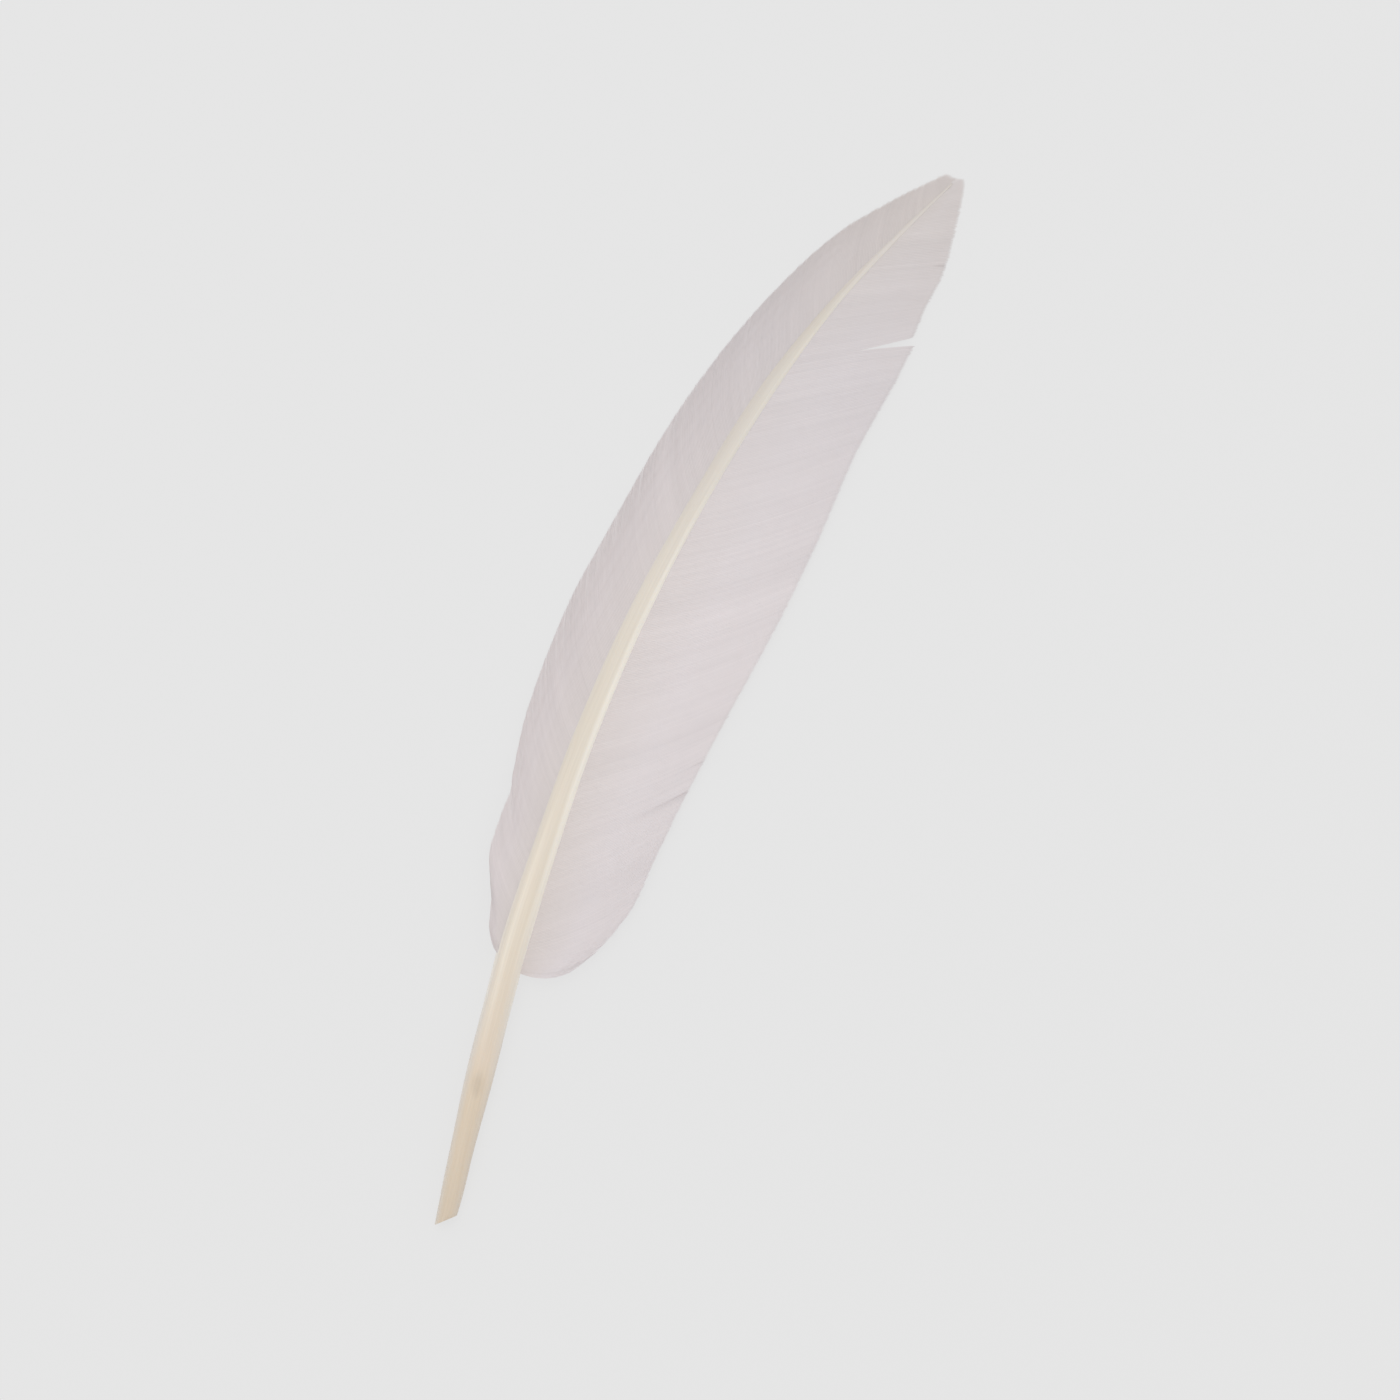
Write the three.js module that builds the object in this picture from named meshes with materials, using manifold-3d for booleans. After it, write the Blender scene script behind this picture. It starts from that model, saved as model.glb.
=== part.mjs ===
// A goose quill feather, lying with its smooth outer side up: one tapering shaft, and the web of barbs on each
// side of it. Millimetres. x runs across the feather from the narrow vane to the wide one, y along it from the
// cut quill to the tip, z up from the surface that it lies on. Plan distances are measured from the quill's cut
// end, and the finished pieces are moved so that the origin is under the middle of the footprint.
import * as THREE from 'three';
import Module from 'manifold-3d';
import { LoftGeometry } from 'three/addons/geometries/LoftGeometry.js';
import { mergeVertices } from 'three/addons/utils/BufferGeometryUtils.js';

const footprintCentre = { x: -15.1, y: 138.35 };

// The shaft: round barrel below, flattened rachis above, with its widest level where the barbs spring from.
// y, x of the middle, z of the widest level, width, height above that level, height below it
const shaftStations = [
  [-3, 0.5, 2.25, 4.5, 2.25, 2.25],
  [7, -1.7, 2.8, 5.5, 2.7, 2.7],
  [18, -4.4, 3.4, 5.7, 2.8, 2.8],
  [35, -8.1, 4.4, 6.7, 3.0, 3.3],
  [52, -11.6, 5.4, 6.9, 2.9, 3.5],
  [69, -14.9, 6.2, 7.1, 2.6, 3.7],
  [97, -18.8, 6.8, 6.2, 2.0, 3.6],
  [119, -21.4, 6.9, 5.6, 1.7, 3.4],
  [150, -22.9, 6.7, 4.8, 1.4, 3.1],
  [181, -21.9, 6.0, 4.1, 1.2, 2.7],
  [212, -19.0, 4.7, 3.8, 1.0, 2.2],
  [238, -13.8, 3.1, 2.5, 0.8, 1.5],
  [260, -6.7, 1.6, 1.7, 0.6, 1.0],
  [278, -0.3, 0.55, 1.0, 0.4, 0.5],
];
const shaftSteps = 48;
const shaftSides = 20;
const groove = { depth: 0.22, halfWidth: 0.35, from: 60, full: 80 };   // under the rachis, as parts of its size
const wall = 0.5;                                                      // of the hollow barrel
const bore = { from: -4, taperFrom: 26, to: 35, steps: 12 };           // ends in a point under the pith
const slantCut = { left: [-2.0, -1.9], right: [1.7, 1.5], block: 16 }; // the cut end, in plan

// Each vane is a row of barbs: y where one leaves the shaft, then x, y and z of its tip.
const leadingBarbs = [
  [62.6, -19.6, 64.6, 5.2],
  [63.8, -22.4, 68.8, 4.6],
  [66.8, -25.4, 76.0, 3.9],
  [71.8, -29.3, 84.0, 3.1],
  [78.8, -31.2, 92.5, 2.5],
  [83.0, -31.8, 97.4, 2.2],
  [85.8, -31.2, 99.6, 2.2],
  [89.5, -33.4, 105.0, 1.7],
  [101.0, -36.8, 120.5, 0.9],
  [123.4, -39.2, 146.0, 0.25],
  [146.7, -38.3, 169.0, 0.2],
  [170.0, -36.7, 192.0, 0.2],
  [192.5, -33.4, 213.0, 0.2],
  [212.0, -28.0, 233.5, 0.2],
  [234.0, -20.6, 253.0, 0.2],
  [253.3, -12.6, 266.0, 0.2],
  [268.7, -5.8, 275.0, 0.2],
  [274.5, -3.0, 277.8, 0.2],
];
const trailingBarbs = [
  [61.0, 1.0, 67.0, 4.6],
  [62.6, 4.5, 75.0, 4.2],
  [66.0, 7.2, 87.0, 3.8],
  [76.0, 6.9, 101.0, 3.5],
  [92.0, 6.9, 117.0, 3.3],
  [112.5, 7.6, 139.0, 3.0],
  [134.5, 9.0, 162.0, 2.7],
  [158.0, 8.5, 185.0, 2.4],
  [182.5, 7.3, 208.0, 1.9],
  [206.0, 8.0, 227.0, 1.4],
  [220.5, 8.4, 237.7, 1.1],
  [223.5, 7.1, 240.0, 1.0],
  [247.0, 7.0, 257.0, 0.6],
  [265.0, 4.9, 271.0, 0.3],
  [276.3, 1.9, 278.6, 0.2],
];
const vane = { gap: 0.15, atShaft: 0.9, atEdge: 0.35, camber: 1.1, rows: 44, steps: 6 };
// How far a barb bows away from the feather's tip, as a part of its length: most in the lowest, fluffier barbs.
const bow = { leading: 0.08, trailing: 0.04, lowest: 0.09, lowestY: 61, fade: 5 };
const split = { inner: [-2.3, 231.6], upper: [9.8, 241.8], lower: [11.6, 239.6], height: 12 };

const wasm = await Module();
wasm.setup();

// A smooth curve through rows of numbers, read by the first number of each row.
function smooth(rows) {
  const values = rows.flatMap((row) => row.slice(1));
  const curve = new THREE.CubicInterpolant(rows.map((row) => row[0]), values, rows[0].length - 1, []);
  return (at) => [...curve.evaluate(at)];
}

const shaftAt = smooth(shaftStations);

function solidOf(geometry) {
  const bare = new THREE.BufferGeometry().setIndex(geometry.index);
  bare.setAttribute('position', geometry.getAttribute('position'));
  const merged = mergeVertices(bare, 1e-4);
  const vertProperties = merged.attributes.position.array;
  const triVerts = new Uint32Array(merged.index.array);
  return new wasm.Manifold(new wasm.Mesh({ numProp: 3, vertProperties, triVerts }));
}

function geometryOf(solid) {
  const { vertProperties, triVerts } = solid.getMesh();
  const geometry = new THREE.BufferGeometry();
  geometry.setAttribute('position', new THREE.BufferAttribute(vertProperties, 3));
  geometry.setIndex(new THREE.BufferAttribute(triVerts, 1));
  geometry.computeVertexNormals();
  return geometry;
}

// One ring of the shaft: an ellipse with its own height above and below the widest level, drawn in by inset.
function shaftRing(y, inset, grooveDepth) {
  const [x, z, width, above, below] = shaftAt(y);
  const ring = [];
  for (let side = 0; side < shaftSides; side += 1) {
    const turn = (side / shaftSides) * 2 * Math.PI;
    const across = -Math.cos(turn);
    const up = Math.sin(turn);
    const height = up > 0 ? above : below;
    const lift = up < 0 ? grooveDepth * below * Math.exp(-((across / groove.halfWidth) ** 2)) : 0;
    ring.push(new THREE.Vector3(x + across * (width / 2 - inset), y, z + up * (height - inset) + lift));
  }
  return ring;
}

function shaftBody() {
  const first = shaftStations[0][0];
  const last = shaftStations.at(-1)[0];
  const rings = [];
  for (let step = 0; step <= shaftSteps; step += 1) {
    const y = THREE.MathUtils.lerp(first, last, step / shaftSteps);
    const depth = groove.depth * THREE.MathUtils.smoothstep(y, groove.from, groove.full);
    rings.push(shaftRing(y, 0, depth));
  }
  return solidOf(new LoftGeometry(rings, { capStart: true, capEnd: true }));
}

// The inside of the barrel: the same rings one wall smaller, closing to a blunt point at the upper end.
function barrelBore() {
  const rings = [];
  for (let step = 0; step <= bore.steps; step += 1) {
    const y = THREE.MathUtils.lerp(bore.from, bore.to, step / bore.steps);
    const narrowest = shaftAt(y)[2] / 2 - 0.6;
    const inset = THREE.MathUtils.lerp(wall, narrowest, THREE.MathUtils.smoothstep(y, bore.taperFrom, bore.to));
    rings.push(shaftRing(y, inset, 0));
  }
  return solidOf(new LoftGeometry(rings, { capStart: true, capEnd: true }));
}

// A block whose face stands on the line of the slanted cut, and which lies on the side that is cut away.
function slantBlock() {
  const [left, right] = [slantCut.left, slantCut.right];
  const slope = Math.atan2(right[1] - left[1], right[0] - left[0]);
  const block = new THREE.BoxGeometry(slantCut.block, slantCut.block, slantCut.block);
  block.translate(0, -slantCut.block / 2, 0);
  block.rotateZ(slope);
  block.translate(left[0], left[1], 0);
  return solidOf(block);
}

function makeShaft() {
  return shaftBody().subtract(barrelBore()).subtract(slantBlock());
}

// One barb as a closed strip: from the shaft's side to its tip, bowed away from the feather's tip, arched a
// little, and thinner towards its end. side is -1 for the leading vane and 1 for the trailing one.
function barbStrip([rootY, tipX, tipY, tipZ], side) {
  const [x, z, width] = shaftAt(rootY);
  const root = new THREE.Vector3(x + side * (width / 2 + vane.gap), rootY, z);
  const tip = new THREE.Vector3(tipX, tipY, tipZ);
  const lowest = bow.lowest * Math.exp((bow.lowestY - rootY) / bow.fade);
  const bend = (side < 0 ? bow.leading : bow.trailing) + lowest;
  const away = new THREE.Vector3(side * (tipY - rootY), -Math.abs(tipX - root.x), 0);
  const top = [];
  const bottom = [];
  for (let step = 0; step <= vane.steps; step += 1) {
    const along = step / vane.steps;
    const arch = 4 * along * (1 - along);
    const middle = root.clone().lerp(tip, along).addScaledVector(away, bend * arch);
    middle.z += vane.camber * arch;
    const half = THREE.MathUtils.lerp(vane.atShaft, vane.atEdge, along) / 2;
    top.push(new THREE.Vector3(middle.x, middle.y, middle.z + half));
    bottom.unshift(new THREE.Vector3(middle.x, middle.y, middle.z - half));
  }
  const strip = [...top, ...bottom];
  return side > 0 ? strip : strip.reverse();
}

function makeVane(barbs, side) {
  const barbAt = smooth(barbs.map((barb, number) => [number, ...barb]));
  const strips = [];
  for (let row = 0; row <= vane.rows; row += 1) {
    const number = (row / vane.rows) * (barbs.length - 1);
    strips.push(barbStrip(barbAt(number), side));
  }
  return solidOf(new LoftGeometry(strips, { capStart: true, capEnd: true }));
}

// The wedge of air where the wide vane has come apart between two barbs.
function splitWedge() {
  const outline = new THREE.Shape([split.inner, split.lower, split.upper].map(([x, y]) => new THREE.Vector2(x, y)));
  return solidOf(new THREE.ExtrudeGeometry(outline, { depth: split.height, bevelEnabled: false }));
}

const keratin = (color, roughness) => new THREE.MeshStandardMaterial({ color, roughness, metalness: 0 });
const pieces = {
  shaft: [makeShaft(), keratin('#e4dcd1', 0.4)],
  leading_vane: [makeVane(leadingBarbs, -1), keratin('#d2c9c9', 0.7)],
  trailing_vane: [makeVane(trailingBarbs, 1).subtract(splitWedge()), keratin('#dad3d5', 0.7)],
};

const feather = new THREE.Group();
for (const [name, [solid, material]] of Object.entries(pieces)) {
  const mesh = new THREE.Mesh(geometryOf(solid), material);
  mesh.name = name;
  mesh.position.set(-footprintCentre.x, -footprintCentre.y, 0);
  feather.add(mesh);
}

export default feather;
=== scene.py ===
import bpy
import math
import numpy as np
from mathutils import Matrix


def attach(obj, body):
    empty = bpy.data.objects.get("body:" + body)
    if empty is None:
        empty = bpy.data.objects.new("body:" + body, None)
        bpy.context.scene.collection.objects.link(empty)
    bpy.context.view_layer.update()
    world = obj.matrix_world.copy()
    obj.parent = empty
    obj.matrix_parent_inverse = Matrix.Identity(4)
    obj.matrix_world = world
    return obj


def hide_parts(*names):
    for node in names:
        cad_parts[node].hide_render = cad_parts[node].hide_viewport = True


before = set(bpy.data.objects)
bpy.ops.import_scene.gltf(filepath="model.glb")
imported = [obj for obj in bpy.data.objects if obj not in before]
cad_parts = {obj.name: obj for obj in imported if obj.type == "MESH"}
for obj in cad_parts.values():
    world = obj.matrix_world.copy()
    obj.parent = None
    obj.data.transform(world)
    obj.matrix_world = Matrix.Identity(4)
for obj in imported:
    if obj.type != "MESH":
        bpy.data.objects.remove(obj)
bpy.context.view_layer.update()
print("frame loaded:", ", ".join(sorted(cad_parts)))

# Lengths below are in mm. Plan distances start at the quill's cut end, which is at quillEnd in the frame.
mm = 0.001
quillEnd = np.array([15.1, -138.35, 0.0])
sharpAngle = math.radians(50)           # faces that meet more sharply are shaded with an edge between them
picker = np.random.default_rng(41)


# A smooth curve through rows of numbers, read by the first number of each row: between two rows a cubic,
# whose slope at a row is the slope from the row before to the row after.
def smoothRows(rows, at):
    table = np.array(rows, float)
    x, y = table[:, 0], table[:, 1:]
    slope = np.empty_like(y)
    slope[1:-1] = (y[2:] - y[:-2]) / (x[2:] - x[:-2])[:, None]
    slope[0] = (y[1] - y[0]) / (x[1] - x[0])
    slope[-1] = (y[-1] - y[-2]) / (x[-1] - x[-2])
    at = np.clip(np.asarray(at, float), x[0], x[-1])
    k = np.clip(np.searchsorted(x, at, side="right") - 1, 0, len(x) - 2)
    gap = (x[k + 1] - x[k])[..., None]
    t = (at - x[k])[..., None] / gap
    start = y[k] * (1 + 2 * t) * (1 - t) ** 2 + slope[k] * gap * t * (1 - t) ** 2
    end = y[k + 1] * (3 - 2 * t) * t ** 2 - slope[k + 1] * gap * (1 - t) * t ** 2
    return np.moveaxis(start + end, -1, 0)


# Eased step: 0 up to low, 1 from high, 3t^2 - 2t^3 between.
def eased(low, high, value):
    t = np.clip((value - low) / (high - low), 0, 1)
    return t * t * (3 - 2 * t)


# Quads between each ring of points and the next one. First holds the number of each ring's first point.
def ringQuads(first, sides):
    first = first.reshape(-1, 1)
    side = np.arange(sides)
    after = (side + 1) % sides
    corners = [first + side, first + after, first + sides + after, first + sides + side]
    return np.stack(corners, -1).reshape(-1, 4)


# Puts points (mm from the quill's end), faces and named numbers per point into a piece at the origin.
def makePiece(name, points, faces, numbers):
    mesh = bpy.data.meshes.new(name)
    corners = sum([group.tolist() for group in faces], [])
    mesh.from_pydata(((points + quillEnd) * mm).tolist(), [], corners)
    for label, values in numbers.items():
        kind, field = ("FLOAT", "value") if values.ndim == 1 else ("FLOAT_VECTOR", "vector")
        attribute = mesh.attributes.new(label, kind, "POINT")
        attribute.data.foreach_set(field, values.astype(np.float32).ravel())
    mesh.shade_smooth()
    mesh.set_sharp_from_angle(angle=sharpAngle)
    piece = bpy.data.objects.new(name, mesh)
    bpy.context.scene.collection.objects.link(piece)
    return piece


# The shaft: barrel and rachis, one piece.
shaft = {
    # y, x of the middle, z of the widest level, width, height above that level, height below it
    "stations": [
        (-3, 0.5, 2.25, 4.5, 2.25, 2.25), (7, -1.7, 2.8, 5.5, 2.7, 2.7), (18, -4.3, 3.4, 5.9, 2.8, 2.8),
        (35, -8.05, 4.4, 6.95, 3.0, 3.3), (52, -11.6, 5.4, 6.9, 2.9, 3.5), (69, -14.9, 6.2, 7.2, 2.6, 3.7),
        (97, -18.8, 6.8, 6.2, 2.0, 3.6), (119, -21.25, 6.9, 5.7, 1.7, 3.4),
        (150, -22.7, 6.7, 5.05, 1.4, 3.1), (181, -21.72, 6.0, 4.25, 1.2, 2.7),
        (212, -18.75, 4.7, 4.0, 1.0, 2.2), (238, -13.6, 3.1, 2.6, 0.8, 1.5),
        (260, -6.7, 1.6, 1.6, 0.6, 1.0), (277, -0.6, 0.5, 0.5, 0.25, 0.4)],
    # y, how far the crown sits off the middle (-1 left edge, 1 right edge), how broad the crown is, how
    # gently the top runs out at its edges (0.5 = upright, as in an ellipse), and how high they stand upright
    "crown": [
        (0, -0.1, 2.0, 0.5, 0.0), (30, -0.2, 2.0, 0.5, 0.0), (50, -0.3, 2.0, 0.5, 0.0),
        (68, -0.25, 2.1, 0.6, 0.15), (85, 0.05, 2.3, 0.75, 0.4), (100, 0.3, 2.3, 0.8, 0.45),
        (115, 0.45, 2.3, 0.85, 0.45), (215, 0.45, 2.2, 0.85, 0.45), (250, 0.4, 2.0, 0.8, 0.4),
        (277, 0.3, 2.0, 0.8, 0.4)],
    "sides": 48,
    "ringStep": 1.1,
    "cutY": -0.35,              # the middle of the slanting cut
    "cutSlope": 0.92,           # mm along the quill for one mm across it
    "cutFade": 9,               # mm over which the rings above the cut come upright
    "rimRound": 0.08,
    "wall": 0.5,                # of the empty barrel
    "lumenRings": 26,
    "lumenFrom": 1,             # mm from the cut to the first ring that is wholly inside
    "lumenTaper": 26,           # y where the empty space begins to close
    "lumenClosed": 36,          # y where it would be down to lumenTip
    "lumenTip": 0.3,            # half height
    "lumenEnd": 35,             # y of its last ring
    "lumenPole": 0.4,           # mm from its last ring to its end point
    "tipPole": 0.3,             # mm from the rachis's last ring to its end point
    "groove": 0.22,             # under the rachis, as a part of the height below the widest level
    "grooveHalfWidth": 0.35,    # as a part of the shaft's half width
    "grooveFrom": 60,
    "grooveFull": 80,
}


# How high the shaft's top is, as a part of its full height above the widest level: s + (1 - s)(1 - |distance
# from crown|^p)^q, where the distance is 1 at either edge and s is the height of the upright side.
def topOfShaft(y, across):
    crown, broad, gentle, upright = smoothRows(shaft["crown"], y)
    fromCrown = (across - crown) / (1 - crown * np.sign(across - crown))
    return upright + (1 - upright) * np.maximum(1 - np.abs(fromCrown) ** broad, 0) ** gentle


# Rings of a section that is widest at its own level, drawn in by inset. Round the ring by the angle turn,
# across is its cosine, and the underside is half an ellipse. Towards the cut end a ring leans over, so that
# its points move along y by slope x distance from the middle. The groove is a bell curve pressed up from
# below.
def shaftSurface(y, turn, inset):
    across, up = np.cos(turn), np.sin(turn)
    lean = shaft["cutSlope"] * (1 - eased(shaft["cutY"], shaft["cutY"] + shaft["cutFade"], y))
    halfWidth = smoothRows(shaft["stations"], y)[2] / 2 - inset
    y = y + lean * across * halfWidth
    x, z, width, above, below = smoothRows(shaft["stations"], y)
    pressed = shaft["groove"] * eased(shaft["grooveFrom"], shaft["grooveFull"], y) * (inset == 0)
    pressed = pressed * below * np.exp(-(across / shaft["grooveHalfWidth"]) ** 2)
    height = np.where(up >= 0, (above - inset) * topOfShaft(y, across), pressed + (below - inset) * up)
    return np.stack([x + across * (width / 2 - inset), y, z + height], -1)


def makeShaft():
    wall, cutY, bevel = shaft["wall"], shaft["cutY"], shaft["rimRound"]
    tipY = shaft["stations"][-1][0]

    # rings from the tip down to the cut, over the rim and up the inside, which closes by an eased step
    outerY = np.linspace(tipY, cutY + bevel, int((tipY - cutY) / shaft["ringStep"]))
    rimY = [cutY, cutY, cutY + bevel]
    rimInset = [bevel, wall - bevel, wall]
    innerY = np.linspace(cutY + shaft["lumenFrom"], shaft["lumenEnd"], shaft["lumenRings"])
    halfHeight = smoothRows(shaft["stations"], innerY)[3]
    closing = eased(shaft["lumenTaper"], shaft["lumenClosed"], innerY)
    innerInset = wall + (halfHeight - wall - shaft["lumenTip"]) * closing
    y = np.concatenate([outerY, rimY, innerY])[:, None]
    inset = np.concatenate([outerY * 0, rimInset, innerInset])[:, None]
    turn = np.linspace(0, 2 * np.pi, shaft["sides"], endpoint=False)[None, :]
    rings = shaftSurface(y, turn, inset)
    count, sides = rings.shape[:2]
    tipPole = rings[0].mean(0) + (0, shaft["tipPole"], 0)
    lumenPole = rings[-1].mean(0) + (0, shaft["lumenPole"], 0)
    poles = np.array([tipPole, lumenPole])
    points = np.concatenate([rings.reshape(-1, 3), poles])

    quads = ringQuads(np.arange(count - 1) * sides, sides)
    side = np.arange(sides)
    after = (side + 1) % sides
    last = (count - 1) * sides
    tipFan = np.stack([after, side, np.full(sides, count * sides)], -1)
    lumenFan = np.stack([last + side, last + after, np.full(sides, count * sides + 1)], -1)

    girth = smoothRows(shaft["stations"], y)[2] * (turn - np.pi / 2) / 2          # mm round from the crown
    place = np.stack([girth, rings[..., 1], np.broadcast_to(inset, girth.shape)], -1).reshape(-1, 3)
    across = np.broadcast_to(np.cos(turn), girth.shape).ravel()
    firstInside = len(outerY) + len(rimY) - 1
    inside = np.broadcast_to((np.arange(count) >= firstInside)[:, None], girth.shape).ravel()
    numbers = {
        "shaftPlace": np.concatenate([place, poles]),
        "acrossShaft": np.concatenate([across, [0, 0]]),
        "insideBarrel": np.concatenate([inside, [0, 1]]).astype(float),
    }
    piece = makePiece("quill_shaft", points, [quads, tipFan, lumenFan], numbers)
    print("quill_shaft has", count, "rings of", sides)
    return piece


# The vanes: each one is a row of barbs, hooked together.
leadingVane = {
    "name": "leading_barbs",
    "side": -1,                 # left of the shaft
    "pitch": 0.5,               # mm between barbs
    "rooted": 0.4,              # mm that a barb starts inside the shaft's edge
    # y at the shaft, and how far a barb bows away from the feather's tip, as a part of its length
    "bow": [(62, 0.12), (66, 0.08), (74, 0.06), (100, 0.07), (230, 0.07), (278, 0.04)],
    # y where a barb leaves the shaft, then x, y and z of its tip
    "barbs": [
        (63.0, -19.4, 65.0, 5.2), (64.0, -22.2, 69.0, 4.6), (66.8, -24.95, 76.0, 3.9),
        (71.8, -29.55, 84.0, 3.1), (78.8, -30.95, 92.5, 2.5), (83.0, -31.4, 96.8, 2.2),
        (85.8, -31.5, 99.4, 2.2), (89.5, -33.3, 105.0, 1.7), (101.0, -36.8, 120.5, 0.9),
        (123.4, -38.9, 146.0, 0.25), (146.7, -37.9, 169.0, 0.2),
        (170.0, -36.4, 192.0, 0.2), (192.5, -33.3, 213.0, 0.2), (212.0, -28.1, 233.5, 0.2),
        (234.0, -20.7, 253.0, 0.2), (253.3, -12.5, 266.0, 0.2), (268.7, -5.7, 275.0, 0.2),
        (273.6, -2.9, 278.3, 0.2), (276.4, -0.5, 278.65, 0.3)],
    # where the hooks have let go: y at the shaft, where along the barb it starts, mm that it gapes at the
    # edge (below 0 it overlaps), mm that the upper lip sinks under the lower one, mm along the shaft that it
    # pulls at, and how much painted shade darkens the barbs beside it, the shade of the crease
    "partings": [(84.5, 0.85, 0.0, 0.25, 2, 0.5)],
    # y at the shaft, and how much lighter the barbs are painted towards their outer ends: painted light where
    # the web slopes down, away from the light
    "paintedLightEnds": [(62, 2.4), (70, 2.2), (76, 1.3), (84, 1.2), (90, 1.7), (98, 1.4), (110, 0.5), (125, 0.1),
                 (278, 0.0)],
}
trailingVane = {
    "name": "trailing_barbs",
    "side": 1,
    "pitch": 0.5,
    "rooted": 0.22,
    "bow": [(61, 0.11), (66, 0.06), (80, 0.03), (160, 0.03), (215, 0.0), (278, 0.0)],
    "barbs": [
        (61.0, 1.0, 67.0, 4.6), (62.6, 4.5, 75.0, 4.2), (66.0, 7.2, 87.0, 3.8), (76.0, 6.9, 101.0, 3.5),
        (92.0, 6.9, 117.0, 3.3), (112.5, 7.5, 139.0, 3.0), (134.5, 8.5, 162.0, 2.7),
        (158.0, 8.4, 185.0, 2.4), (182.5, 7.3, 208.0, 1.9), (206.0, 8.1, 227.0, 1.4),
        (221.6, 7.8, 238.7, 1.1), (232.5, 7.0, 246.5, 0.9), (246.5, 7.0, 257.0, 0.6),
        (265.0, 4.2, 271.0, 0.3), (274.2, 1.95, 278.65, 0.2), (276.4, -0.1, 278.7, 0.3)],
    "partings": [(221.6, 0.56, 2.1, 0.0, 8, 0.0), (92.5, 0.62, -0.1, 0.35, 2.5, 1.2),
                 (100.5, 0.84, -0.1, 0.25, 1.8, 0.9), (248.5, 0.82, 0.0, 0.5, 2.0, 0.8)],
    "paintedLightEnds": [(61, 0.9), (64, 0.5), (68, 0.2), (76, 0.1), (90, 0.3), (215, 0.3), (240, 0.1), (278, 0.1)],
}
barb = {
    "fineSteps": 6000,          # of the two curves that the spacing is measured on
    # stations along a barb, as parts of its body, and then of its last mm, which narrows to a point
    "body": [0, 0.08, 0.2, 0.35, 0.52, 0.7, 0.87, 1, 1, 1],
    "point": [0, 0, 0, 0, 0, 0, 0, 0, 0.6, 1],
    "pointLength": 1.0,
    "pointMost": 0.3,           # of a short barb's length
    "pointThin": 0.75,          # part of its section that a barb has lost at its tip
    # the section, in order round it: how far across as a part of the spacing, and height in mm
    "across": [-0.68, 0.0, 0.66, 0.14, 0.0, -0.14],
    "height": [-0.05, 0.06, 0.045, -0.03, -0.3, -0.06],
    "upperHalf": [5, 2, 1, 0],  # the section's points as two quads, which close a barb's ends
    "lowerHalf": [5, 4, 3, 2],
    "keelBelow": -0.1,          # the section is keel where it is lower than this,
    "keelFade": 0.6,            # and the keel has lost this part of its depth at the tip
    "evenOver": 4,              # neighbours on either side, over which the width is evened out
    "deepest": 0.35,            # part of the shaft's half width that a barb may start inside its edge
    "sunk": 0.12,               # mm that a barb starts under the shaft's top
    "overhang": 0.15,           # mm that a barb runs past its row's tip,
    "ragged": 0.1,              # and how much that differs from barb to barb
    "shortest": 6,              # a barb shorter than this runs past by less
    "camber": 1.1,              # rise of the web between shaft and edge,
    "fullCamber": 20,           # and the barb length that it needs
    "waves": [(3, 0.05), (9, 0.10), (26, 0.20)],      # mm along the shaft, mm high
    "waveEnd": 1.3,             # barb lengths from the shaft to where a wave would be level again
    "tone": 0.5,                # shade of a barb, how much it differs, and over how many barbs it drifts
    "toneSpread": 0.12,
    "toneReach": 4,
    "floorGap": 0.03,
}


# Evenly spaced barbs: the spacing is the mean of the distance along the roots and along the outline, so that
# the fan at the lower end doesn't thin out.
def barbEnds(vane):
    rows = [(number, *row) for number, row in enumerate(vane["barbs"])]
    fine = np.linspace(0, len(rows) - 1, barb["fineSteps"])

    def endsAt(number):
        rootY, tipX, tipY, tipZ = smoothRows(rows, number)
        x, z, width, above = smoothRows(shaft["stations"], rootY)[:4]
        across = vane["side"] * (1 - np.minimum(vane["rooted"] / (width / 2), barb["deepest"]))
        rootZ = z + above * topOfShaft(rootY, across) - barb["sunk"]
        root = np.stack([x + across * width / 2, rootY, rootZ], -1)
        return root, np.stack([tipX, tipY, tipZ], -1)

    def stepsOf(points):
        return np.linalg.norm(np.diff(points, axis=0), axis=1)

    root, tip = endsAt(fine)
    run = np.concatenate([[0], np.cumsum((stepsOf(root) + stepsOf(tip)) / 2)])
    count = int(run[-1] / vane["pitch"])
    return endsAt(np.interp(np.linspace(0, run[-1], count), run, fine))


# Random heights that change smoothly over about reach barbs: noise under a bell-shaped window, cut off at
# three times its reach.
def smoothNoise(count, reach):
    half = 3 * reach
    window = np.exp(-0.5 * (np.arange(-half, half + 1) / reach) ** 2)
    window = window / np.sqrt((window ** 2).sum())
    return np.convolve(picker.standard_normal(count + 2 * half), window, "valid")


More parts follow.
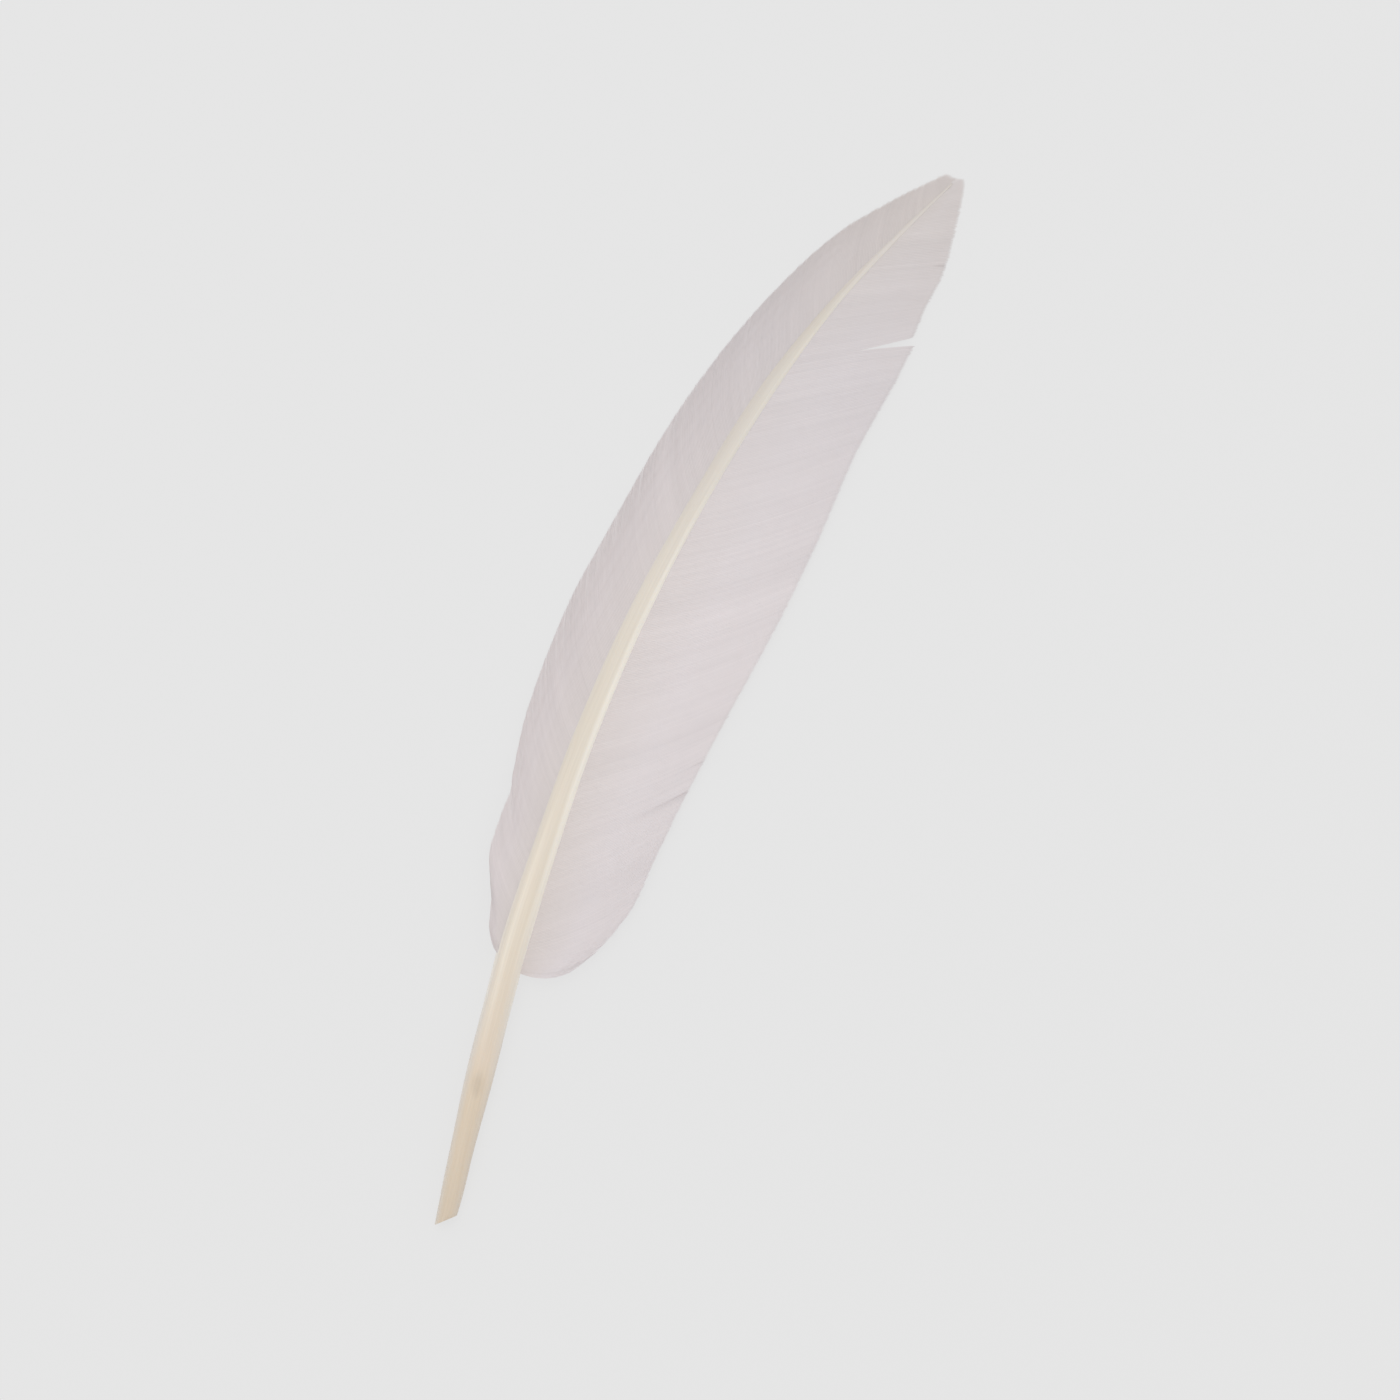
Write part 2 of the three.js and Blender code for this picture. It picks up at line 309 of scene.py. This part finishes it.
# A barb is the straight line from root to tip, bowed away from the feather's tip and raised by 4w(1 - w),
# where w is the part of the way along it. Its section is a six-sided strip across the line to its neighbours.
# A parting pulls by (w past its start) x e^-(distance from it / reach), and a wave lifts by noise x
# w(waveEnd - w).
def makeVane(vane):
    root, tip = barbEnds(vane)
    count = len(root)
    span = tip - root
    length = np.linalg.norm(span, axis=1)[:, None]
    overhang = picker.normal(barb["overhang"], barb["ragged"], (count, 1))
    span *= 1 + overhang / np.maximum(length, barb["shortest"])
    point = np.minimum(barb["pointLength"] / length, barb["pointMost"])
    w = (np.array(barb["body"]) * (1 - point) + np.array(barb["point"]) * point)[..., None]
    arch = 4 * w * (1 - w)
    bend = smoothRows(vane["bow"], root[:, 1])[0]
    away = np.stack([vane["side"] * span[:, 1], -np.abs(span[:, 0]), 0 * bend], -1) * bend[:, None]
    line = root[:, None] + span[:, None] * w + away[:, None] * arch
    line[..., 2] += barb["camber"] * eased(0, barb["fullCamber"], length) * arch[..., 0]

    # width and directions of each section, from the lines of the neighbouring barbs
    spacing = np.gradient(line, axis=0)
    ahead = np.gradient(line, axis=1)
    ahead /= np.linalg.norm(ahead, axis=2, keepdims=True)
    spacing -= (spacing * ahead).sum(2, keepdims=True) * ahead
    width = np.linalg.norm(spacing, axis=2, keepdims=True)
    sideways = spacing / width
    near = barb["evenOver"]
    padded = np.pad(width, ((near, near), (0, 0), (0, 0)), "edge")
    width = sum(padded[k:k + count] for k in range(2 * near + 1)) / (2 * near + 1)
    facing = np.cross(ahead, sideways)
    facing *= np.sign(facing[..., 2:])

    tone = barb["tone"] + barb["toneSpread"] * picker.standard_normal(count)
    tone = tone + barb["toneSpread"] * smoothNoise(count, barb["toneReach"])
    # painted light: barbs are made lighter towards their outer ends where the web slopes away from the light
    tone = tone[:, None, None] + smoothRows(vane["paintedLightEnds"], root[:, 1])[0][:, None, None] * w
    for y, start, gape, sink, reach, dark in vane["partings"]:
        beyond = root[:, 1, None, None] - y
        pulled = np.clip((w - start) / (1 - start), 0, 1) * np.exp(-np.abs(beyond) / reach)
        line = line + sideways * np.sign(beyond) * gape / 2 * pulled
        line[..., 2] -= (sink * pulled * (beyond > 0))[..., 0]
        # painted shade in the crease: the barbs beside a parting are darkened
        tone -= dark * np.sqrt(pulled) * np.exp(-(beyond / (reach / 2)) ** 2)
    for reach, height in barb["waves"]:
        swell = smoothNoise(count, round(reach / vane["pitch"]))[:, None] * height
        line[..., 2] += swell * w[..., 0] * (barb["waveEnd"] - w[..., 0])

    tapered = 1 - barb["pointThin"] * np.array(barb["point"])[None, :, None, None]
    across = np.array(barb["across"])[None, None, :, None]
    height = np.array(barb["height"])[None, None, :, None] * tapered
    keel = height < barb["keelBelow"]
    height = np.where(keel, height * (1 - barb["keelFade"] * w[..., None]), height)
    line[..., 2] = np.maximum(line[..., 2], barb["floorGap"] - height.min(2)[..., 0])
    sideSteps = (sideways * width)[:, :, None] * across * tapered
    points = line[:, :, None] + sideSteps + facing[:, :, None] * height

    stations, sides = points.shape[1:3]
    start = np.arange(count)[:, None] * stations * sides
    end = start + (stations - 1) * sides
    quads = ringQuads(start + np.arange(stations - 1) * sides, sides)
    upper, lower = np.array(barb["upperHalf"]), np.array(barb["lowerHalf"])
    caps = np.concatenate([start + upper, start + lower, end + upper[::-1], end + lower[::-1]])
    if vane["side"] > 0:
        quads, caps = quads[:, ::-1], caps[:, ::-1]

    def perPoint(values):
        return np.broadcast_to(values, points.shape[:3])

    number = np.arange(count)[:, None, None]
    place = [perPoint(length[..., None] * w), perPoint(across[..., 0] * width), perPoint(number)]
    numbers = {
        "barbPlace": np.stack(place, -1).reshape(-1, 3),
        "barbTone": perPoint(tone).ravel(),
        "alongBarb": perPoint(w).ravel(),
        "acrossBarb": perPoint(across[..., 0]).ravel(),
    }
    piece = makePiece(vane["name"], points.reshape(-1, 3), [quads, caps], numbers)
    print(vane["name"], "has", count, "barbs")
    return piece


# sRGB hex to linear: c / 12.92 up to 0.04045, and above that ((c + 0.055) / 1.055)^2.4.
def linear(hexCode):
    srgb = np.array([int(hexCode[i:i + 2], 16) for i in (1, 3, 5)]) / 255
    value = np.where(srgb <= 0.04045, srgb / 12.92, ((srgb + 0.055) / 1.055) ** 2.4)
    return (*value.tolist(), 1.0)


# Adds one shader node: settings are its properties, inputs are values or the outputs that feed it, and ramp
# is its stops, each one a hex colour or a grey.
def addNode(tree, kind, inputs=None, ramp=None, **settings):
    made = tree.nodes.new("ShaderNode" + kind)
    for name, value in settings.items():
        setattr(made, name, value)
    for name, value in (inputs or {}).items():
        if isinstance(value, bpy.types.NodeSocket):
            tree.links.new(value, made.inputs[name])
        else:
            made.inputs[name].default_value = value
    for number, (place, colour) in enumerate(ramp or []):
        stops = made.color_ramp.elements
        stop = stops[number] if number < 2 else stops.new(place)      # a new ramp has two stops
        stop.position = place
        stop.color = linear(colour) if isinstance(colour, str) else (colour, colour, colour, 1)
    return made


# Three nodes that are wanted often: one range of values stretched over another and held at its ends, colour
# stops read by a value, and an amount of a second colour over a first.
def ranged(tree, value, given, wanted=(0.0, 1.0)):
    made = addNode(tree, "MapRange", {"Value": value, "From Min": given[0], "From Max": given[1],
                                      "To Min": wanted[0], "To Max": wanted[1]})
    return made.outputs["Result"]


def ramped(tree, value, stops, kind="LINEAR"):
    made = addNode(tree, "ValToRGB", {"Fac": value}, ramp=stops)
    made.color_ramp.interpolation = kind
    return made.outputs["Color"]


def mixed(tree, amount, first, second, blend="MIX"):
    made = addNode(tree, "Mix", {0: amount, 6: first, 7: second}, data_type="RGBA", blend_type=blend)
    return made.outputs[2]


def newMaterial(name):
    material = bpy.data.materials.new(name)
    material.use_nodes = True
    return material, material.node_tree.nodes["Principled BSDF"]


# Keratin of the shaft: horn, grown as a hollow barrel that turns into a foam-filled rachis. It looks waxy
# and a little see-through, tan where it is empty and cream where the foam shows through, and shines along
# its length. Its stripes of highlight, reflection and shade along the shaft are painted into its colour.
shaftLook = {
    "rampLength": 280.0,        # mm from the cut that the stops along the shaft are parts of
    "byLength": [
        (0.0, "#D8C8B3"), (0.118, "#DFCEB8"), (0.135, "#E3D3C0"), (0.24, "#E6DAC9"), (0.42, "#DFD5C6"),
        (0.56, "#DED5C8"), (0.68, "#D9D1C7"), (0.77, "#D8D1C7"), (0.83, "#D6CEC2"), (0.91, "#D9D2CC"),
        (0.99, "#D4CDC7")],
    # painted light and shade, each a stripe: colour, strength across the shaft (0 = left edge, 1 = right
    # edge) and strength along it. First a painted reflection of the sky that greys both edges of the barrel,
    # then a painted highlight along both edges, a painted highlight on a ridge on the left and one on the
    # right, and last a painted shade on the left flank of the thin upper rachis.
    "paintedLightBands": [
        ("#E1DBD4", [(0.0, 0.85), (0.32, 0.0), (0.66, 0.0), (1.0, 0.5)],
         [(0.06, 0.65), (0.16, 1.0), (0.4, 0.45)]),
        ("#F6F0E6", [(0.0, 0.9), (0.12, 0.0), (0.88, 0.0), (1.0, 0.9)],
         [(0.15, 0.0), (0.19, 0.9), (0.26, 0.9), (0.31, 0.0)]),
        ("#F0E8DA", [(0.12, 0.0), (0.3, 1.0), (0.48, 0.0)],
         [(0.14, 0.0), (0.19, 0.45), (0.27, 0.5), (0.31, 0.35), (0.4, 0.0)]),
        ("#FAF5EB", [(0.64, 0.0), (0.84, 0.8), (1.0, 1.0)],
         [(0.12, 0.0), (0.16, 0.15), (0.2, 0.15), (0.28, 0.5), (0.38, 0.9), (0.56, 0.8), (0.7, 0.4),
          (0.86, 0.4), (0.95, 0.0)]),
        ("#CCC3BA", [(0.0, 0.5), (0.38, 0.4), (0.6, 0.0)],
         [(0.6, 0.0), (0.68, 0.6), (0.75, 1.0), (0.85, 1.0), (0.9, 0.5), (1.0, 0.3)])],
    "lumen": "#C9B598",
    # the dark spot in the barrel where the foam ends: y, half width and half length in mm, and its shade
    "foamEnd": (32.5, 1.8, 4.0),
    "foamEndShade": [(0.35, 0.9), (1.0, 1.0)],
    # growth lines: hair-thin in real horn, drawn about 0.4 mm wide so that they show
    "lineScale": (2.4, 0.05, 1.0),
    "lineShade": [(0.3, 0.93), (0.7, 1.0)],
    "roughness": (0.32, 0.44),
}


def shaftKeratin():
    material, skin = newMaterial("shaftKeratin")
    tree = material.node_tree
    place = addNode(tree, "Attribute", attribute_name="shaftPlace").outputs["Vector"]
    across = addNode(tree, "Attribute", attribute_name="acrossShaft").outputs["Fac"]
    inside = addNode(tree, "Attribute", attribute_name="insideBarrel").outputs["Fac"]
    fromCut = addNode(tree, "SeparateXYZ", {"Vector": place}).outputs["Y"]
    along = ranged(tree, fromCut, (0.0, shaftLook["rampLength"]))
    colour = ramped(tree, along, shaftLook["byLength"])
    fromLeft = ranged(tree, across, (-1.0, 1.0))
    # each stripe mixes a painted highlight, reflection or shade into the colour
    for tint, acrossIt, alongIt in shaftLook["paintedLightBands"]:
        near = ramped(tree, fromLeft, acrossIt, "EASE")
        strength = ramped(tree, along, alongIt)
        amount = addNode(tree, "Math", {0: near, 1: strength}, operation="MULTIPLY").outputs[0]
        colour = mixed(tree, amount, colour, linear(tint))

    y, halfWidth, halfLength = shaftLook["foamEnd"]
    spot = addNode(tree, "Mapping", {"Vector": place, "Location": (0, -y / halfLength, 0),
                                     "Scale": (1 / halfWidth, 1 / halfLength, 0)}).outputs["Vector"]
    fromSpot = addNode(tree, "VectorMath", {0: spot}, operation="LENGTH").outputs["Value"]
    spotShade = ramped(tree, fromSpot, shaftLook["foamEndShade"])
    lines = addNode(tree, "Mapping", {"Vector": place, "Scale": shaftLook["lineScale"]}).outputs["Vector"]
    grain = addNode(tree, "TexNoise", {"Vector": lines, "Scale": 1.0, "Detail": 3.0}).outputs["Fac"]
    lineShade = ramped(tree, grain, shaftLook["lineShade"])
    for shade in (spotShade, lineShade):
        colour = mixed(tree, 1.0, colour, shade, "MULTIPLY")
    colour = mixed(tree, inside, colour, linear(shaftLook["lumen"]))
    bump = addNode(tree, "Bump", {"Height": grain, "Strength": 0.15, "Distance": 0.0002}).outputs["Normal"]
    roughness = ranged(tree, grain, (0.0, 1.0), shaftLook["roughness"])
    tree.links.new(colour, skin.inputs["Base Color"])
    tree.links.new(bump, skin.inputs["Normal"])
    tree.links.new(roughness, skin.inputs["Roughness"])
    skin.inputs["IOR"].default_value = 1.55
    skin.inputs["Subsurface Weight"].default_value = 0.1
    skin.inputs["Subsurface Radius"].default_value = (1.0, 0.8, 0.6)
    skin.inputs["Subsurface Scale"].default_value = 0.0004
    return material


# Keratin of the barbs: white feather, bubbles of air in thin horn. It looks soft and matt, a shade lighter
# on each barb's ridge than in the web of hooks beside it, warmer where it leaves the lower half of the shaft,
# and on the wide vane also darker there, a painted shade beside the shaft, with a faint change of shade from
# barb to barb, and greyer and darker towards the feather's tip, a painted shade.
barbLook = {
    # warmer near the lower shaft, and on the wide vane also darker there, a painted shade beside the shaft:
    "warmthAndShadeAlong": (0.0, 0.45),           # parts of a barb between which the warmth goes,
    "warmthAndShadeY": (-0.06, 0.06),             # m in the frame between which it fades,
    "warmthAndShadeFade": (1.0, 0.3),             # from all of it to this
    # painted shade: greyer and darker towards the feather's tip
    "tipShadeY": (0.02, 0.13),              # m in the frame that the stops of tipShade lie between
    "tipShade": [(0.0, 1.0), (0.6, "#F6F7F8"), (1.0, "#F1F1EE")],
    "wornEdge": [(0.95, 1.0), (1.0, 0.93)],
    # shades that run along the barbs, in drifts of 3 to 8 barbs
    "driftScale": (0.06, 0.0, 0.22),
    "driftShade": [(0.25, 0.965), (0.75, 1.0)],
    "ridgeTo": 0.6,                     # parts of the spacing, from the ridge out to the web
    "ridgeShade": (1.0, 0.95),
    "toneRange": (-1.0, 3.0),
    "toneShade": (0.86, 1.14),
    # hooks: real ones stand 0.03 mm apart, drawn 0.25 mm apart so that they show
    "hookScale": 1.3,
}


def barbKeratin(name, atShaft, body):
    material, web = newMaterial(name)
    tree = material.node_tree
    along = addNode(tree, "Attribute", attribute_name="alongBarb").outputs["Fac"]
    tone = addNode(tree, "Attribute", attribute_name="barbTone").outputs["Fac"]
    across = addNode(tree, "Attribute", attribute_name="acrossBarb").outputs["Fac"]
    place = addNode(tree, "Attribute", attribute_name="barbPlace").outputs["Vector"]
    inFrame = addNode(tree, "TexCoord").outputs["Object"]
    frameY = addNode(tree, "SeparateXYZ", {"Vector": inFrame}).outputs["Y"]
    # warmer near the lower shaft; on the wide vane also darker there, a painted shade beside the shaft
    nearShaft = ranged(tree, along, barbLook["warmthAndShadeAlong"], (1.0, 0.0))
    lowDown = ranged(tree, frameY, barbLook["warmthAndShadeY"], barbLook["warmthAndShadeFade"])
    warmthAndShade = addNode(tree, "Math", {0: nearShaft, 1: lowDown}, operation="MULTIPLY").outputs[0]
    colour = mixed(tree, warmthAndShade, linear(body), linear(atShaft))

    # painted shade, greyer and darker towards the feather's tip
    towardsTip = ranged(tree, frameY, barbLook["tipShadeY"])
    tipShade = ramped(tree, towardsTip, barbLook["tipShade"])
    wornEdge = ramped(tree, along, barbLook["wornEdge"])
    drift = addNode(tree, "Mapping", {"Vector": place, "Scale": barbLook["driftScale"]}).outputs["Vector"]
    cloud = addNode(tree, "TexNoise", {"Vector": drift, "Scale": 1.0, "Detail": 4.0, "Roughness": 0.6})
    drifts = ramped(tree, cloud.outputs["Fac"], barbLook["driftShade"])
    offRidge = addNode(tree, "Math", {0: across}, operation="ABSOLUTE").outputs[0]
    ridge = ranged(tree, offRidge, (0.0, barbLook["ridgeTo"]), barbLook["ridgeShade"])
    barbShade = ranged(tree, tone, barbLook["toneRange"], barbLook["toneShade"])
    for shade in (tipShade, wornEdge, drifts, ridge, barbShade):
        colour = mixed(tree, 1.0, colour, shade, "MULTIPLY")
    hooks = addNode(tree, "TexWave", {"Vector": place, "Scale": barbLook["hookScale"], "Distortion": 0.6,
                                      "Detail": 1.0}).outputs["Fac"]
    bump = addNode(tree, "Bump", {"Height": hooks, "Strength": 0.1, "Distance": 0.00005}).outputs["Normal"]
    tree.links.new(colour, web.inputs["Base Color"])
    tree.links.new(bump, web.inputs["Normal"])
    web.inputs["Roughness"].default_value = 0.7
    web.inputs["IOR"].default_value = 1.55
    web.inputs["Subsurface Weight"].default_value = 0.1
    web.inputs["Subsurface Radius"].default_value = (0.6, 0.5, 0.45)
    web.inputs["Subsurface Scale"].default_value = 0.0008
    return material


quill = makeShaft()
quill.data.materials.append(shaftKeratin())
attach(quill, "root")
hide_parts("shaft")

leading = makeVane(leadingVane)
leading.data.materials.append(barbKeratin("leadingKeratin", "#E1D8D5", "#E2D9D9"))
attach(leading, "root")
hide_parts("leading_vane")

trailing = makeVane(trailingVane)
# its colour at the shaft is warmer and darker than its body: a warmer tint and a painted shade beside the
# shaft
trailing.data.materials.append(barbKeratin("trailingKeratin", "#E3D9D5", "#EAE2E3"))
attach(trailing, "root")
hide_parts("trailing_vane")
print("feather built")

# The studio: a pale floor, an even sky and one large soft light overhead. The floor glows as a light table
# does, so that shadows on it stay faint.
studio = {
    "floorSize": 12.0,                  # m
    "floorColour": "#E6E6E6",
    "glow": 0.85,                       # part of the floor's colour that is its own light
    "sky": 0.80,
    "keyPower": 10.5,                   # W
    "keySize": 1.5,                     # m
    "keyPlace": (-0.5, 0.25, 2.2),      # m
    "turn": 26.16,                      # degrees that the camera is turned
    "centre": (14.86, 0.45),            # mm in the frame, what the camera stands over
    "width": 336.0,                     # mm that the camera sees at focusHeight
    "focusHeight": 5.0,                 # mm
    "cameraHeight": 1.6,                # m
    "sensor": 36.0,                     # mm
}


def makeFloor():
    half = studio["floorSize"] / 2
    corners = [(-half, -half, 0), (half, -half, 0), (half, half, 0), (-half, half, 0)]
    mesh = bpy.data.meshes.new("floor")
    mesh.from_pydata(corners, [], [(0, 1, 2, 3)])
    floor = bpy.data.objects.new("floor", mesh)
    bpy.context.scene.collection.objects.link(floor)
    material, paint = newMaterial("paleFloor")
    colour = np.array(linear(studio["floorColour"]))
    paint.inputs["Base Color"].default_value = colour * (1 - studio["glow"])
    paint.inputs["Emission Color"].default_value = colour
    paint.inputs["Emission Strength"].default_value = studio["glow"]
    paint.inputs["Roughness"].default_value = 1.0
    paint.inputs["Specular IOR Level"].default_value = 0.0
    mesh.materials.append(material)


# The key light is tilted and turned to face the frame's origin.
def makeLight():
    world = bpy.data.worlds.new("sky")
    world.use_nodes = True
    sky = world.node_tree.nodes["Background"]
    sky.inputs["Color"].default_value = (1, 1, 1, 1)
    sky.inputs["Strength"].default_value = studio["sky"]
    bpy.context.scene.world = world
    lamp = bpy.data.lights.new("key", "AREA")
    lamp.shape = "DISK"
    lamp.size = studio["keySize"]
    lamp.energy = studio["keyPower"]
    key = bpy.data.objects.new("key", lamp)
    key.location = studio["keyPlace"]
    x, y, z = -np.array(studio["keyPlace"])
    key.rotation_euler = (math.atan2(math.hypot(x, y), -z), 0, math.atan2(y, x) - math.pi / 2)
    bpy.context.scene.collection.objects.link(key)


# Looks straight down, turned so that the feather leans to the right. The focal length is the sensor's width x
# distance / width seen.
def makeCamera():
    distance = studio["cameraHeight"] / mm - studio["focusHeight"]
    lens = bpy.data.cameras.new("camera")
    lens.sensor_width = studio["sensor"]
    lens.lens = studio["sensor"] * distance / studio["width"]
    camera = bpy.data.objects.new("camera", lens)
    camera.location = (studio["centre"][0] * mm, studio["centre"][1] * mm, studio["cameraHeight"])
    camera.rotation_euler = (0, 0, math.radians(studio["turn"]))
    bpy.context.scene.collection.objects.link(camera)
    bpy.context.scene.camera = camera


makeFloor()
makeLight()
makeCamera()
bpy.context.scene.view_settings.view_transform = "Standard"
print("studio lit")
